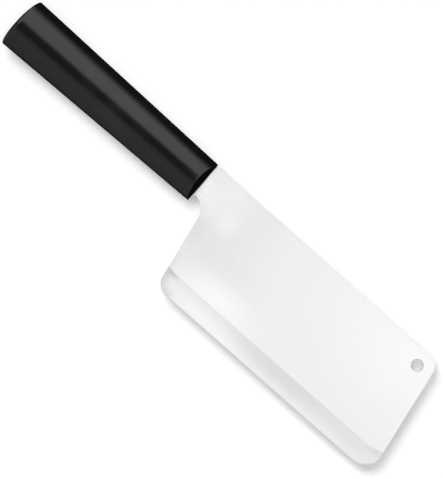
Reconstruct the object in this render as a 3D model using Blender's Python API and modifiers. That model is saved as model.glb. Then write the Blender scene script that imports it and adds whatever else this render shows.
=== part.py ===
# Dicer knife: a broad blade with square ends, in a straight handle with an egg-shaped section.
# The blade, its neck and its tang are one piece of sheet steel, stamped and then ground.
# The handle is resin moulded over the tang, and plugs of it fill the tang's holes.
#
# Metres, +Z up. While the knife is drawn, X runs along the handle's axis towards the tip, x = 0 is
# the handle's front end, +Y is the spine's side and z = 0 is the middle of the steel. Last, all of
# it is moved so that the middle of its bounding box is the origin.

import math

import bmesh
import bpy
from mathutils import Matrix, Vector

# Handle
HANDLE_LENGTH = 0.108
FRONT_HEIGHT = 0.0197
BUTT_HEIGHT = 0.024        # where the domed end begins
FRONT_THICKNESS = 0.015
BUTT_THICKNESS = 0.018
CREST_OFFSET = 0.0011      # from the axis to the thickest line, towards the spine
SPINE_FULLNESS = 0.62      # roundness of the section on the spine's side: an ellipse has 0.55
BELLY_FULLNESS = 0.40      # the lower side is nearer to a rounded wedge
BUTT_DOME = 0.0024
FRONT_SETBACK = 0.0028     # how far each side of the front end slopes back, at the crest

# Blade
STOCK_THICKNESS = 0.0020   # the sheet, which is left whole at the neck and the tang
BLADE_THICKNESS = 0.0015   # between the ground faces
SPINE_LENGTH = 0.1306      # from the handle to the corner with the tip, before it is rounded
BLADE_HEIGHT = 0.0579
SPINE_STEP = 0.0002        # from the handle's upper edge down to the spine
TIP_SLOPE = math.radians(9.2)
HEEL_SLOPE = math.radians(10.3)
TIP_ROUND = 0.0070
TOE_ROUND = 0.0079
HEEL_ROUND = 0.0066
NECK_LENGTH = 0.0078       # from the handle to the corner with the heel, before its fillet
NECK_DROP = 0.0064         # from the handle's axis down to the neck's lower edge
NECK_FILLET = 0.0086

# Grinding
RUNOUT_START = 0.0220      # from the handle to where the flat faces begin
RUNOUT_RADIUS = 0.2880     # the curve on which the faces rise from there to the neck
BEVEL_HEIGHT = 0.0099
BEVEL_RADIUS = 0.1000      # the bevel is hollow
EDGE_THICKNESS = 0.00035   # where the hollow bevel gives way to the fine one
FINE_BEVEL = 0.00035       # height of the fine bevel
EDGE_LAND = 0.0001         # thickness that the fine bevel leaves

# Hanging hole
HOLE_DIAMETER = 0.0060
HOLE_FROM_SPINE = 0.0077
HOLE_FROM_TIP = 0.0066     # back from the corner of spine and tip, before it is rounded
HOLE_CHAMFER = 0.0003

# Tang
TANG_SHOULDER = 0.0014     # from the neck's lower edge up to the tang's
TANG_END_WALL = 0.0200     # resin behind the tang
TANG_END_ROUND = 0.0030
SHOULDER_FILLET = 0.0005
LOCK_HOLE_DIAMETER = 0.0045
LOCK_HOLE_COUNT = 3
FIRST_LOCK_HOLE = 0.0180   # from the handle's front end
LAST_LOCK_HOLE = 0.0120    # from the tang's end

CLEARANCE = 0.0003         # between the steel and the resin, all round

# Fineness of the curves, and how far cutters reach past what they cut
ARC_STEP = math.radians(8)
SECTION_STEPS = 14
DOME_STEPS = 8
RUNOUT_STEPS = 12
BEVEL_STEPS = 8
HOLE_SIDES = 40
OVERCUT = 0.004
SMALL_OVERCUT = 0.0002
EDGE_OVERCUT = 0.00005
MOST_OF_A_SIDE = 0.98      # what a round may take of a side that is short for it
WELD = 1e-6

FACE = BLADE_THICKNESS / 2
STOCK_FACE = STOCK_THICKNESS / 2
SPINE_Y = FRONT_HEIGHT / 2 - SPINE_STEP
EDGE_Y = SPINE_Y - BLADE_HEIGHT
TOE_X = SPINE_LENGTH + BLADE_HEIGHT * math.tan(TIP_SLOPE)
HEEL_X = NECK_LENGTH + (-NECK_DROP - EDGE_Y) * math.tan(HEEL_SLOPE)
TANG_HALF = NECK_DROP - TANG_SHOULDER
TANG_END_X = -(HANDLE_LENGTH - TANG_END_WALL)
DOME_X = -(HANDLE_LENGTH - BUTT_DOME)


def make_collection(name, hidden=False):
    collection = bpy.data.collections.new(name)
    bpy.context.scene.collection.children.link(collection)
    collection.hide_render = hidden
    return collection


def make_material(name, color, roughness, metallic):
    material = bpy.data.materials.new(name)
    material.use_nodes = True
    shader = material.node_tree.nodes["Principled BSDF"]
    shader.inputs["Base Color"].default_value = (*color, 1)
    shader.inputs["Roughness"].default_value = roughness
    shader.inputs["Metallic"].default_value = metallic
    return material


def on_circle(center, radius, angle):
    return Vector(center) + radius * Vector((math.cos(angle), math.sin(angle)))


def arc_points(center, radius, start, end, steps):
    return [on_circle(center, radius, start + (end - start) * i / steps) for i in range(steps + 1)]


def rounded_outline(corners):
    """An outline through corners (x, y, radius). Where a side is too short for its rounds, they
    are made smaller."""
    outline = []
    for i, (x, y, radius) in enumerate(corners):
        corner = Vector((x, y))
        if radius == 0:
            outline.append(corner)
            continue
        sides = []
        room = []
        for other in (corners[i - 1], corners[(i + 1) % len(corners)]):
            side = Vector(other[:2]) - corner
            sides.append(side.normalized())
            room.append(side.length / 2 if other[2] else side.length)
        half_angle = sides[0].angle(sides[1]) / 2
        reach = min(radius / math.tan(half_angle), MOST_OF_A_SIDE * min(room))
        radius = reach * math.tan(half_angle)
        center = corner + (sides[0] + sides[1]).normalized() * radius / math.sin(half_angle)
        first, last = (corner + side * reach - center for side in sides)
        start = math.atan2(first.y, first.x)
        turn = math.remainder(math.atan2(last.y, last.x) - start, 2 * math.pi)
        steps = math.ceil(abs(turn) / ARC_STEP)
        outline += arc_points(center, radius, start, start + turn, steps)
    return outline


def add_object(name, mesh, collection):
    mesh.name = name
    obj = bpy.data.objects.new(name, mesh)
    collection.objects.link(obj)
    return obj


def flat_solid(name, outline, thickness, collection):
    """A plate that lies half above and half below the XY plane."""
    curve = bpy.data.curves.new(name, "CURVE")
    curve.dimensions = "2D"
    curve.fill_mode = "BOTH"
    curve.extrude = thickness / 2
    spline = curve.splines.new("POLY")
    spline.points.add(len(outline) - 1)
    for point, place in zip(spline.points, outline):
        point.co = (place.x, place.y, 0, 1)
    spline.use_cyclic_u = True
    source = bpy.data.objects.new(name + "_outline", curve)
    collection.objects.link(source)
    evaluated = source.evaluated_get(bpy.context.evaluated_depsgraph_get())
    mesh = bpy.data.meshes.new_from_object(evaluated)
    bpy.data.objects.remove(source)
    work = bmesh.new()
    work.from_mesh(mesh)
    bmesh.ops.remove_doubles(work, verts=work.verts, dist=WELD)
    bmesh.ops.recalc_face_normals(work, faces=work.faces)
    work.to_mesh(mesh)
    work.free()
    return add_object(name, mesh, collection)


def on_both_faces(obj):
    """Repeats a cutter on the other face of the steel, as a body of its own."""
    mirror = obj.modifiers.new("other_face", "MIRROR")
    mirror.use_axis = (False, False, True)
    mirror.use_mirror_merge = False
    return obj


def cut(obj, cutter):
    cutter.hide_render = True
    cutter.display_type = "WIRE"
    modifier = obj.modifiers.new("cut_" + cutter.name, "BOOLEAN")
    modifier.operation = "DIFFERENCE"
    modifier.solver = "EXACT"
    modifier.object = cutter


def smooth(obj):
    obj.data.shade_smooth()
    obj.data.set_sharp_from_angle(angle=math.radians(30))


def make_lock_pins(name, diameter, cutters):
    """Cylinders where the tang's holes are."""
    last = TANG_END_X + LAST_LOCK_HOLE
    pitch = (last + FIRST_LOCK_HOLE) / (LOCK_HOLE_COUNT - 1)
    work = bmesh.new()
    for i in range(LOCK_HOLE_COUNT):
        bmesh.ops.create_cone(
            work,
            cap_ends=True,
            segments=HOLE_SIDES,
            radius1=diameter / 2,
            radius2=diameter / 2,
            depth=STOCK_THICKNESS + 2 * OVERCUT,
            matrix=Matrix.Translation((-FIRST_LOCK_HOLE + pitch * i, 0, 0)),
        )
    mesh = bpy.data.meshes.new(name)
    work.to_mesh(mesh)
    work.free()
    return add_object(name, mesh, cutters)


def make_stamping(collection):
    """The blade, its neck, and the tang behind two shoulders, all at the sheet's thickness."""
    outline = rounded_outline([
        (CLEARANCE, SPINE_Y, 0),
        (CLEARANCE, TANG_HALF, SHOULDER_FILLET),
        (TANG_END_X, TANG_HALF, TANG_END_ROUND),
        (TANG_END_X, -TANG_HALF, TANG_END_ROUND),
        (CLEARANCE, -TANG_HALF, SHOULDER_FILLET),
        (CLEARANCE, -NECK_DROP, 0),
        (NECK_LENGTH, -NECK_DROP, NECK_FILLET),
        (HEEL_X, EDGE_Y, HEEL_ROUND),
        (TOE_X, EDGE_Y, TOE_ROUND),
        (SPINE_LENGTH, SPINE_Y, TIP_ROUND),
    ])
    return flat_solid("blade", outline, STOCK_THICKNESS, collection)


def make_face_grinder(cutters):
    """Grinds a face flat up to the tip. Towards the neck it rises out of the steel on a curve."""
    top = STOCK_FACE + SMALL_OVERCUT
    center = (RUNOUT_START, FACE + RUNOUT_RADIUS)
    rise = math.acos(1 - (top - FACE) / RUNOUT_RADIUS)
    down = math.radians(-90)
    profile = arc_points(center, RUNOUT_RADIUS, down - rise, down, RUNOUT_STEPS)
    profile.append(Vector((TOE_X + OVERCUT, FACE)))
    profile.append(Vector((TOE_X + OVERCUT, top)))
    grinder = flat_solid("face_grinder", profile, BLADE_HEIGHT + 2 * OVERCUT, cutters)
    middle = Matrix.Translation((0, SPINE_Y - BLADE_HEIGHT / 2, 0))
    grinder.data.transform(middle @ Matrix.Rotation(math.radians(90), 4, "X"))
    return on_both_faces(grinder)


def make_bevel_grinder(cutters):
    """Grinds the hollow bevel and, below it, the fine bevel that makes the cutting edge."""
    low = Vector((EDGE_Y + FINE_BEVEL, EDGE_THICKNESS / 2))
    high = Vector((EDGE_Y + BEVEL_HEIGHT, FACE))
    top = STOCK_FACE + SMALL_OVERCUT
    chord = high - low
    outward = Vector((-chord.y, chord.x)).normalized()
    center = (low + high) / 2 + outward * math.sqrt(BEVEL_RADIUS**2 - chord.length_squared / 4)
    start = math.atan2(low.y - center.y, low.x - center.x)
    end = math.asin((top - center.y) / BEVEL_RADIUS)
    profile = arc_points(center, BEVEL_RADIUS, start, end, BEVEL_STEPS)
    fine_slope = (EDGE_THICKNESS - EDGE_LAND) / 2 / FINE_BEVEL
    last_z = EDGE_LAND / 2 - EDGE_OVERCUT * fine_slope
    profile.append(Vector((EDGE_Y - OVERCUT, top)))
    profile.append(Vector((EDGE_Y - OVERCUT, last_z)))
    profile.append(Vector((EDGE_Y - EDGE_OVERCUT, last_z)))
    grinder = flat_solid("bevel_grinder", profile, TOE_X - HEEL_X + 2 * BLADE_HEIGHT, cutters)
    middle = Matrix.Translation(((HEEL_X + TOE_X) / 2, 0, 0))
    to_y_and_z = Matrix.Rotation(math.radians(90), 4, "Z") @ Matrix.Rotation(math.radians(90), 4, "X")
    grinder.data.transform(middle @ to_y_and_z)
    return on_both_faces(grinder)


def turned(name, profile, location, collection):
    """A solid of revolution about Z. Its profile of (radius, z) runs from the top to the bottom."""
    mesh = bpy.data.meshes.new(name)
    points = [(radius, 0, z) for radius, z in profile]
    mesh.from_pydata(points, [(i, i + 1) for i in range(len(points) - 1)], [])
    obj = add_object(name, mesh, collection)
    obj.location = location
    screw = obj.modifiers.new("turn", "SCREW")
    screw.steps = HOLE_SIDES
    screw.render_steps = HOLE_SIDES
    screw.use_merge_vertices = True
    screw.merge_threshold = WELD
    return obj


def make_hole_punch(cutters):
    """Punches the hanging hole and chamfers it on both faces."""
    radius = HOLE_DIAMETER / 2
    top = FACE + SMALL_OVERCUT
    wide = radius + HOLE_CHAMFER + SMALL_OVERCUT
    low = FACE - HOLE_CHAMFER
    profile = [(0, top), (wide, top), (radius, low), (radius, -low), (wide, -top), (0, -top)]
    place = (SPINE_LENGTH - HOLE_FROM_TIP, SPINE_Y - HOLE_FROM_SPINE, 0)
    return turned("hole_punch", profile, place, cutters)


def make_blade(collection, cutters):
    blade = make_stamping(collection)
    cut(blade, make_lock_pins("lock_hole_punch", LOCK_HOLE_DIAMETER, cutters))
    cut(blade, make_face_grinder(cutters))
    cut(blade, make_bevel_grinder(cutters))
    cut(blade, make_hole_punch(cutters))
    smooth(blade)
    blade.data.materials.append(make_material("satin_steel", (0.83, 0.84, 0.85), 0.35, 1))
    return blade


def bezier(points, t):
    weights = ((1 - t) ** 3, 3 * t * (1 - t) ** 2, 3 * t**2 * (1 - t), t**3)
    return sum((w * Vector(p) for w, p in zip(weights, points)), Vector((0, 0)))


def half_section(height, thickness):
    """Half of the handle's section in (y, z): from the spine over the crest to the belly."""
    top, side, crest = height / 2, thickness / 2, CREST_OFFSET
    above, below = top - crest, top + crest
    spine_side = [
        (top, 0),
        (top, side * SPINE_FULLNESS),
        (crest + above * SPINE_FULLNESS, side),
        (crest, side),
    ]
    belly_side = [
        (crest, side),
        (crest - below * BELLY_FULLNESS, side),
        (-top, side * BELLY_FULLNESS),
        (-top, 0),
    ]
    shares = [i / SECTION_STEPS for i in range(SECTION_STEPS)]
    section = [bezier(spine_side, t) for t in shares] + [bezier(belly_side, t) for t in shares]
    return section + [Vector(belly_side[-1])]


def handle_half_mesh():
    """A loft between the front section and the larger butt section, closed by a dome."""
    front = half_section(FRONT_HEIGHT, FRONT_THICKNESS)
    butt = half_section(BUTT_HEIGHT, BUTT_THICKNESS)
    rings = [[(0, y, z) for y, z in front], [(DOME_X, y, z) for y, z in butt]]
    for i in range(1, DOME_STEPS):
        angle = math.radians(90) * i / DOME_STEPS
        x = DOME_X - BUTT_DOME * math.sin(angle)
        rings.append([(x, y * math.cos(angle), z * math.cos(angle)) for y, z in butt])
    work = bmesh.new()
    rows = [[work.verts.new(place) for place in ring] for ring in rings]
    for ahead, behind in zip(rows, rows[1:]):
        for i in range(len(ahead) - 1):
            work.faces.new((ahead[i], behind[i], behind[i + 1], ahead[i + 1]))
    pole = work.verts.new((DOME_X - BUTT_DOME, 0, 0))
    for one, other in zip(rows[-1], rows[-1][1:]):
        work.faces.new((one, pole, other))
    work.faces.new(rows[0])
    mesh = bpy.data.meshes.new("handle")
    work.to_mesh(mesh)
    work.free()
    return mesh


def make_front_slope(cutters):
    """Slopes each side of the handle's front end back from the steel's own thickness."""
    slope = FRONT_SETBACK / (FRONT_THICKNESS / 2 - STOCK_FACE)
    near_z = STOCK_FACE - SMALL_OVERCUT
    far_z = BUTT_THICKNESS + OVERCUT
    near, far = (Vector(((STOCK_FACE - z) * slope, z)) for z in (near_z, far_z))
    profile = [near, Vector((near.x, far_z)), far]
    cutter = flat_solid("front_slope", profile, BUTT_HEIGHT + OVERCUT, cutters)
    cutter.data.transform(Matrix.Rotation(math.radians(90), 4, "X"))
    return on_both_faces(cutter)


def make_tang_pocket(cutters):
    """The tang with its clearance, less the plugs of resin that lock the handle to it."""
    half = TANG_HALF + CLEARANCE
    end_x = TANG_END_X - CLEARANCE
    outline = rounded_outline([
        (OVERCUT, half, 0),
        (end_x, half, TANG_END_ROUND + CLEARANCE),
        (end_x, -half, TANG_END_ROUND + CLEARANCE),
        (OVERCUT, -half, 0),
    ])
    pocket = flat_solid("tang_pocket", outline, STOCK_THICKNESS + 2 * CLEARANCE, cutters)
    cut(pocket, make_lock_pins("lock_plugs", LOCK_HOLE_DIAMETER - 2 * CLEARANCE, cutters))
    return pocket


def make_handle(collection, cutters):
    handle = add_object("handle", handle_half_mesh(), collection)
    mirror = handle.modifiers.new("other_side", "MIRROR")
    mirror.use_axis = (False, False, True)
    mirror.merge_threshold = WELD
    cut(handle, make_front_slope(cutters))
    cut(handle, make_tang_pocket(cutters))
    smooth(handle)
    handle.data.materials.append(make_material("black_resin", (0.012, 0.012, 0.013), 0.38, 0))
    return handle


def center_of(objects):
    graph = bpy.context.evaluated_depsgraph_get()
    corners = [Vector(c) for obj in objects for c in obj.evaluated_get(graph).bound_box]
    low = Vector(min(c[axis] for c in corners) for axis in range(3))
    high = Vector(max(c[axis] for c in corners) for axis in range(3))
    return (low + high) / 2


def main():
    for obj in list(bpy.data.objects):
        bpy.data.objects.remove(obj)
    knife = make_collection("dicer_knife")
    cutters = make_collection("cutters", hidden=True)
    pieces = [make_blade(knife, cutters), make_handle(knife, cutters)]
    middle = bpy.data.objects.new("knife_frame", None)
    knife.objects.link(middle)
    for obj in pieces + list(cutters.objects):
        obj.parent = middle
    middle.location = -center_of(pieces)
    bpy.context.view_layer.update()


main()
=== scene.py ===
import math

import bmesh
import bpy
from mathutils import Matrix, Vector


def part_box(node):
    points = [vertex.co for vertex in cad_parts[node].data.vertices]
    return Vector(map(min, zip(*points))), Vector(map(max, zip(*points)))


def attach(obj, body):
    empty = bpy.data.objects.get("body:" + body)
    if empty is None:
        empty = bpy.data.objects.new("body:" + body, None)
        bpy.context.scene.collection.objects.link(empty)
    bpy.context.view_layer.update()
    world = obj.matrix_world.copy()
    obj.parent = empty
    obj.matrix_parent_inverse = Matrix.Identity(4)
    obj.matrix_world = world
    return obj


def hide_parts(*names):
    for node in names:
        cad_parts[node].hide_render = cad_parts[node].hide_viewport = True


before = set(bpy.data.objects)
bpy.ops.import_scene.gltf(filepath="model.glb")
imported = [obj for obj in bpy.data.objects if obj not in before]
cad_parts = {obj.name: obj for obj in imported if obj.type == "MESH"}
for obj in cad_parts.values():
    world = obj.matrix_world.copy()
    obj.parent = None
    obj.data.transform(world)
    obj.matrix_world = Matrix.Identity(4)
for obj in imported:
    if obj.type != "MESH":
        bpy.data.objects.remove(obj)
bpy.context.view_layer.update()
mm = 0.001
quarterTurn = math.radians(90)
close = 0.01 * mm    # nearer than this counts as the same place

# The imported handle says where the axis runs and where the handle's front end stands
handleLow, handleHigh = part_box("handle")
frontX = handleHigh.x
axisY = (handleLow.y + handleHigh.y) / 2
print("frame loaded, front of the handle at x", round(frontX, 5), "axis at y", round(axisY, 5))


def at(x, y):
    # from the handle's front end and axis to the frame
    return (frontX + x, axisY + y)


# Small helpers for working in edit mode

def startClean():
    if bpy.context.object and bpy.context.object.mode == "EDIT":
        bpy.ops.object.mode_set(mode="OBJECT")
    bpy.ops.object.select_all(action="DESELECT")


def makeActive(piece):
    startClean()
    piece.select_set(True)
    bpy.context.view_layer.objects.active = piece


def edit(piece, kind):
    makeActive(piece)
    bpy.ops.object.mode_set(mode="EDIT")
    bpy.ops.mesh.select_mode(type=kind)
    bpy.ops.mesh.select_all(action="DESELECT")


def editAll(piece, kind):
    edit(piece, kind)
    bpy.ops.mesh.select_all(action="SELECT")


def done():
    bpy.ops.object.mode_set(mode="OBJECT")


def choose(piece, kind, wanted):
    # selects what passes the test, and says how many
    bpy.ops.mesh.select_mode(type=kind)
    bpy.ops.mesh.select_all(action="DESELECT")
    work = bmesh.from_edit_mesh(piece.data)
    work.normal_update()
    parts = {"VERT": work.verts, "EDGE": work.edges, "FACE": work.faces}[kind]
    chosen = [part for part in parts if wanted(part)]
    for part in chosen:
        part.select_set(True)
    bmesh.update_edit_mesh(piece.data)
    return len(chosen)


def faceOut():
    bpy.ops.mesh.select_all(action="SELECT")
    bpy.ops.mesh.normals_make_consistent(inside=False)


def roundEdges(width, steps):
    bpy.ops.mesh.bevel(
        offset=width, offset_type="OFFSET", segments=steps, profile=0.5, affect="EDGES")


def rename(name):
    piece = bpy.context.object
    piece.name = name
    piece.data.name = name
    return piece


def placeInMesh(piece):
    makeActive(piece)
    bpy.ops.object.transform_apply(location=True, rotation=True, scale=True)


def joinAll(parts, name):
    makeActive(parts[0])
    for part in parts:
        part.select_set(True)
    if len(parts) > 1:
        bpy.ops.object.join()
    return rename(name)


def copyOf(piece, name):
    makeActive(piece)
    bpy.ops.object.duplicate()
    return rename(name)


def otherFace(piece, name):
    # the same thing for the other face of the steel
    other = copyOf(piece, name)
    editAll(other, "FACE")
    bpy.ops.transform.resize(value=(1, 1, -1), center_override=(0, 0, 0))
    faceOut()
    done()
    return other


def cut(piece, cutter, operation="DIFFERENCE"):
    makeActive(piece)
    change = piece.modifiers.new("cut", "BOOLEAN")
    change.operation = operation
    change.solver = "EXACT"
    change.object = cutter
    bpy.ops.object.modifier_apply(modifier=change.name)
    bpy.data.objects.remove(cutter)


def block(name, low, high):
    startClean()
    bpy.ops.mesh.primitive_cube_add(size=1, location=[(a + b) / 2 for a, b in zip(low, high)])
    piece = rename(name)
    piece.scale = [b - a for a, b in zip(low, high)]
    placeInMesh(piece)
    return piece


def pins(name, diameter, places, sides=48):
    # round bars across the steel and its place in the handle
    made = []
    for x, y in places:
        startClean()
        bpy.ops.mesh.primitive_cylinder_add(
            vertices=sides, radius=diameter / 2, depth=6 * mm, location=(x, y, 0))
        made.append(bpy.context.object)
    piece = joinAll(made, name)
    placeInMesh(piece)
    return piece


def polygon(name, corners, z):
    # a many-sided face whose corners are pulled one by one to the corners of the pattern
    startClean()
    bpy.ops.mesh.primitive_circle_add(
        vertices=len(corners), radius=30 * mm, fill_type="NGON", location=(0, 0, z))
    piece = rename(name)
    placeInMesh(piece)
    edit(piece, "VERT")
    for i, (x, y) in enumerate(corners):
        bpy.ops.mesh.select_all(action="DESELECT")
        work = bmesh.from_edit_mesh(piece.data)
        work.verts.ensure_lookup_table()
        corner = work.verts[i]
        corner.select_set(True)
        move = Vector((x, y, z)) - corner.co
        bmesh.update_edit_mesh(piece.data)
        bpy.ops.transform.translate(value=move)
    done()
    return piece


def roundCorner(piece, corners, i, radius, steps):
    # this reach along both sides gives a true round between the two sides that meet there
    corner = Vector(corners[i])
    before = Vector(corners[i - 1]) - corner
    after = Vector(corners[(i + 1) % len(corners)]) - corner
    edit(piece, "VERT")
    choose(piece, "VERT", lambda v: (v.co.xy - corner).length < close)
    bpy.ops.mesh.bevel(
        affect="VERTICES", offset=radius / math.tan(before.angle(after) / 2),
        offset_type="OFFSET", segments=steps, profile=0.5)
    done()


def thicken(piece, height):
    editAll(piece, "FACE")
    bpy.ops.mesh.extrude_region_move(TRANSFORM_OT_translate={"value": (0, 0, height)})
    faceOut()
    done()


# Handle: two egg sections, a straight taper between them, a domed butt and a sloped front

handleSizes = {
    "length": 108 * mm,
    "frontHeight": 20.46 * mm,
    "frontThickness": 15 * mm,
    "buttHeight": 24.7 * mm,
    "buttThickness": 18 * mm,
    "crestOffset": 1.1 * mm,       # thickest line, from the axis towards the spine
    "spineFullness": 0.62,
    "bellyFullness": 0.40,
    "domeDepth": 2.4 * mm,
    "domeSteps": 14,
    "buttLean": math.radians(2.4),     # the butt leans back on the belly side
    "buttReach": 0.28 * mm,
    "pointsPerQuarter": 26,
    "ringsAlong": 26,
    "setback": 2.78 * mm,          # slope of each half of the front end, at the crest
    "frontStrip": 2.15 * mm,       # half of the strip that the neck stands on
    "frontReach": 0.2 * mm,
    "frontLean": 0.01,             # the front end leans forward on the belly side
    "slopeLean": -0.07,
    "rimRound": 0.22 * mm,
    "seamWidth": 0.11 * mm,
    "seamHeight": 0.02 * mm,
    "seamIntoDome": 1.44 * mm,
    "seamBeforeFront": 0.6 * mm,
    "tangSlot": (5.05 * mm, 1.01 * mm, 88.05 * mm),    # half height, half thickness, depth
    "plug": 4.4 * mm,
    "plugsAt": (-18 * mm, -47 * mm, -76 * mm),
}


def eggRing(name, x, height, thickness):
    s = handleSizes
    top, side, crest = height / 2, thickness / 2, s["crestOffset"]
    above, below = (top - crest) * s["spineFullness"], (top + crest) * s["bellyFullness"]
    spineReach, bellyReach = side * s["spineFullness"], side * s["bellyFullness"]
    # spine, one crest, belly, other crest: each with the handle before it and after it
    points = [
        ((top, 0), (top, -spineReach), (top, spineReach)),
        ((crest, side), (crest + above, side), (crest - below, side)),
        ((-top, 0), (-top, bellyReach), (-top, -bellyReach)),
        ((crest, -side), (crest - below, -side), (crest + above, -side)),
    ]
    startClean()
    bpy.ops.curve.primitive_bezier_circle_add(radius=10 * mm, location=(0, 0, 0))
    ring = rename(name)
    ring.data.dimensions = "3D"
    ring.data.resolution_u = s["pointsPerQuarter"]
    for point, (place, before, after) in zip(ring.data.splines[0].bezier_points, points):
        point.handle_left_type = point.handle_right_type = "FREE"
        point.co = (x, axisY + place[0], place[1])
        point.handle_left = (x, axisY + before[0], before[1])
        point.handle_right = (x, axisY + after[0], after[1])
    bpy.ops.object.convert(target="MESH")
    return bpy.context.object


def makeHandle():
    s = handleSizes
    domeX = frontX - s["length"] + s["domeDepth"]
    endX = frontX + s["frontReach"]
    trimX = endX + 0.5 * mm
    front = eggRing("front", trimX, s["frontHeight"], s["frontThickness"])
    butt = eggRing("butt", domeX, s["buttHeight"], s["buttThickness"])
    handle = joinAll([butt, front], "handle_resin")
    editAll(handle, "EDGE")
    bpy.ops.mesh.remove_doubles(threshold=0.001 * mm)
    bpy.ops.mesh.bridge_edge_loops(number_cuts=s["ringsAlong"], interpolation="LINEAR")

    # the domed butt, ring by ring, closed at its middle
    choose(handle, "EDGE", lambda e: all(abs(v.co.x - domeX) < close for v in e.verts))
    lastX, lastSize = domeX, 1
    for i in range(1, s["domeSteps"]):
        angle = quarterTurn * i / s["domeSteps"]
        x, size = domeX - s["domeDepth"] * math.sin(angle), math.cos(angle)
        bpy.ops.mesh.extrude_region_move(TRANSFORM_OT_translate={"value": (x - lastX, 0, 0)})
        share = size / lastSize
        bpy.ops.transform.resize(value=(1, share, share), center_override=(x, axisY, 0))
        lastX, lastSize = x, size
    bpy.ops.mesh.extrude_region_move(
        TRANSFORM_OT_translate={"value": (domeX - s["domeDepth"] - lastX, 0, 0)})
    bpy.ops.mesh.merge(type="CENTER")
    choose(handle, "VERT", lambda v: v.co.x < domeX + close)
    bpy.ops.transform.rotate(
        value=s["buttLean"], orient_axis="Z", center_override=(domeX, axisY, 0))
    bpy.ops.transform.translate(value=(-s["buttReach"], 0, 0))

    # the front end is closed and trimmed, and each half of it is sloped back from the steel
    choose(handle, "EDGE", lambda e: all(abs(v.co.x - trimX) < close for v in e.verts))
    bpy.ops.mesh.edge_face_add()
    slope = s["setback"] / (s["frontThickness"] / 2 - s["frontStrip"])
    for side, lean in ((0, s["frontLean"]), (1, s["slopeLean"]), (-1, s["slopeLean"])):
        bpy.ops.mesh.select_all(action="SELECT")
        bpy.ops.mesh.bisect(
            plane_co=(endX, axisY, side * s["frontStrip"]),
            plane_no=(1, lean, side * slope), use_fill=True, clear_outer=True)
    faceOut()

    def onRim(e):
        facing = sorted(f.normal.x for f in e.link_faces)
        return len(facing) == 2 and facing[0] < 0.3 and facing[1] > 0.8
    choose(handle, "EDGE", onRim)
    roundEdges(s["rimRound"], 3)

    # the line where the two halves of the mould met
    seamStart, seamEnd = domeX - s["seamIntoDome"], frontX - s["seamBeforeFront"]

    def onSeam(v):
        return abs(v.co.z) < 0.004 * mm and seamStart < v.co.x < seamEnd
    choose(handle, "EDGE", lambda e: all(onSeam(v) for v in e.verts))
    roundEdges(s["seamWidth"], 2)
    choose(handle, "VERT", onSeam)
    bpy.ops.transform.shrink_fatten(value=s["seamHeight"])
    done()

    # the tang's place inside, with the plugs of resin that pass through its holes
    high, thick, deep = s["tangSlot"]
    slot = block("tang_slot", (*at(-deep, -high), -thick), (*at(1 * mm, high), thick))
    cut(slot, pins("plugs", s["plug"], [at(x, 0) for x in s["plugsAt"]]))
    cut(handle, slot)
    return handle


handle = makeHandle()
print("handle shaped,", len(handle.data.polygons), "faces")


# Blade: stamped from the pattern, ground flat, hollow-ground along the edge

bladeSizes = {
    "stock": 2.0 * mm,             # the sheet, as it is left at the neck and the tang
    "ground": 1.5 * mm,            # between the ground faces
    "spineLength": 130.45 * mm,
    "height": 57.9 * mm,
    "spineAboveAxis": 9.65 * mm,
    "tipSlope": math.radians(9.5),
    "heelSlope": math.radians(9.95),
    "tipRound": 7.0 * mm,
    "toeRound": 8.5 * mm,
    "heelRound": 6.6 * mm,
    "neckLength": 7.8 * mm,
    "neckDrop": 6.4 * mm,
    "neckFillet": 8.6 * mm,
    "gapAtHandle": 0.02 * mm,
    "tangHalf": 5.0 * mm,
    "tangLength": 88 * mm,
    "tangRound": 3.0 * mm,
    "lockHole": 4.5 * mm,
    "lockHolesAt": (-18 * mm, -47 * mm, -76 * mm),
    "runoutStart": 22 * mm,
    "runoutRadius": 288 * mm,
    "bevelHeight": 9.9 * mm,
    "toeCurlFrom": 129.8 * mm,
    "toeCurl": 0.026 / mm,         # lift of the grind line over the square of the way
    "heelCurlFrom": 24 * mm,
    "heelCurl": 0.0078 / mm,
    "curlStep": 1.0 * mm,
    "curlSteps": 14,
    "wheelRadius": 100 * mm,
    "edgeThickness": 0.35 * mm,
    "fineBevel": 0.50 * mm,
    "edgeLand": 0.1 * mm,
    "toeLean": math.radians(50),   # how the fine bevel runs out up the tip and up the heel
    "heelLean": math.radians(55),
    "hole": 5.25 * mm,
    "holeFromSpine": 7.7 * mm,
    "holeFromTip": 6.45 * mm,
    "holeRim": 0.28 * mm,
    "holeSides": 72,
    "easedEdge": 0.12 * mm,
    "easedFrom": 0.3 * mm,         # from the handle's front end
    "cornerSteps": 40,
}
spineY = bladeSizes["spineAboveAxis"]
edgeY = spineY - bladeSizes["height"]
toeX = bladeSizes["spineLength"] + bladeSizes["height"] * math.tan(bladeSizes["tipSlope"])
heelX = bladeSizes["neckLength"] + (
    -bladeSizes["neckDrop"] - edgeY) * math.tan(bladeSizes["heelSlope"])
# middles of the rounds at toe and heel
toeCenterX = toeX - bladeSizes["toeRound"] / math.tan((quarterTurn - bladeSizes["tipSlope"]) / 2)
heelCenterX = heelX + bladeSizes["heelRound"] / math.tan(
    (quarterTurn + bladeSizes["heelSlope"]) / 2)
holeX = bladeSizes["spineLength"] - bladeSizes["holeFromTip"]
holeY = spineY - bladeSizes["holeFromSpine"]


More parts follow.
